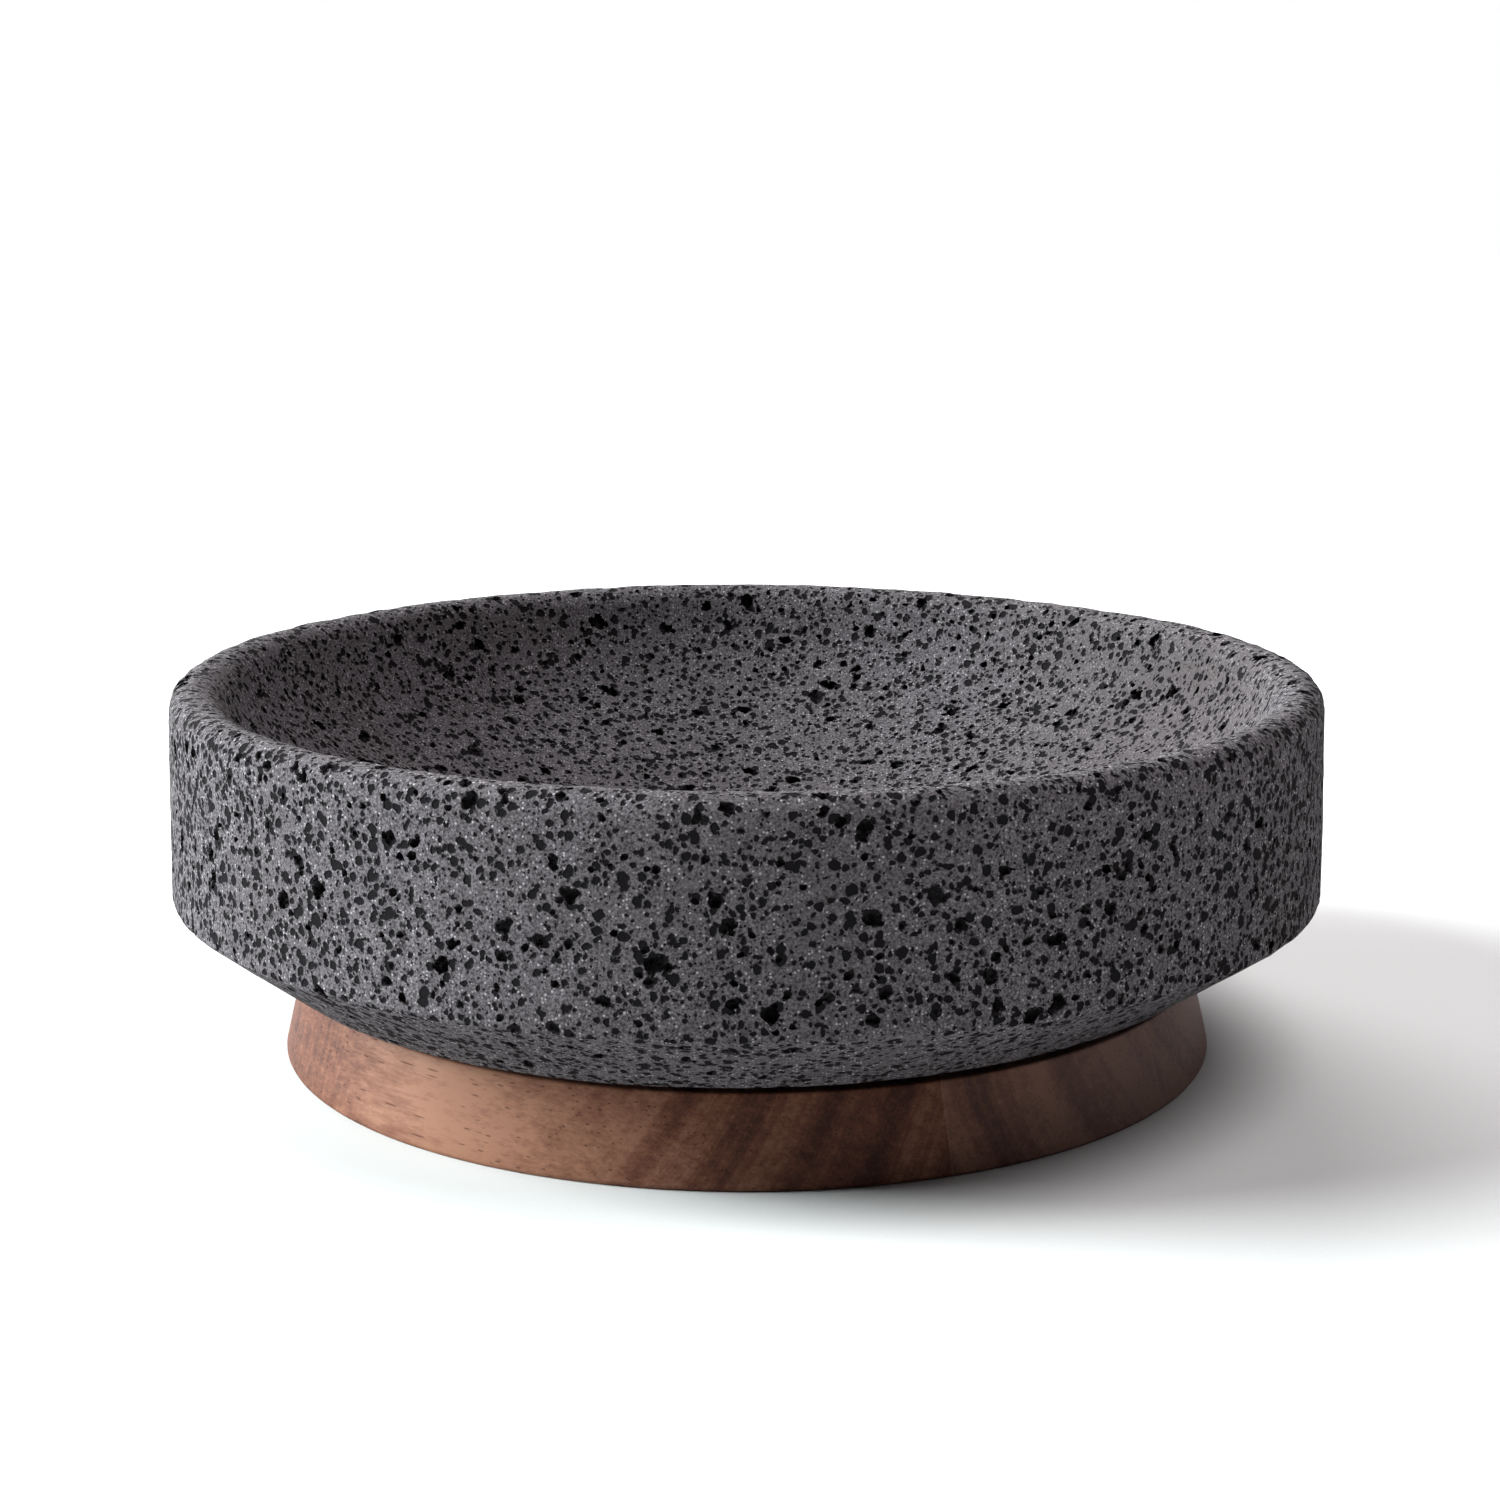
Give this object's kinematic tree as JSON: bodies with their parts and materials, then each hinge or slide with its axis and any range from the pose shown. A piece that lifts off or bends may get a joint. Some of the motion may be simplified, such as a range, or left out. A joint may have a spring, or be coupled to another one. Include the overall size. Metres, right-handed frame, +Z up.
{
  "type": "molcajete",
  "caption": "Wide shallow bowl of porous dark stone with a thick rounded rim and an undercut bevel, standing loose in a low turned wooden ring.",
  "frame": {"origin": "centre of the wooden ring's foot, on the table", "axes": "+Z up along the axis that both pieces are turned about; X and Y are equal"},
  "size_m": [0.2999, 0.3, 0.098],
  "materials": {
    "porous_stone": "matte, ground, full of open bubbles",
    "turned_hardwood": "satin, oiled"
  },
  "bodies": {
    "ring": {"wooden_base_ring": "turned_hardwood"},
    "bowl": {"stone_bowl": "porous_stone"}
  },
  "joints": [
    {"name": "bowl_lift", "type": "slide", "parent": "ring", "child": "bowl", "axis": [0, 0, 1], "range_m": [0, 0.06]}
  ]
}
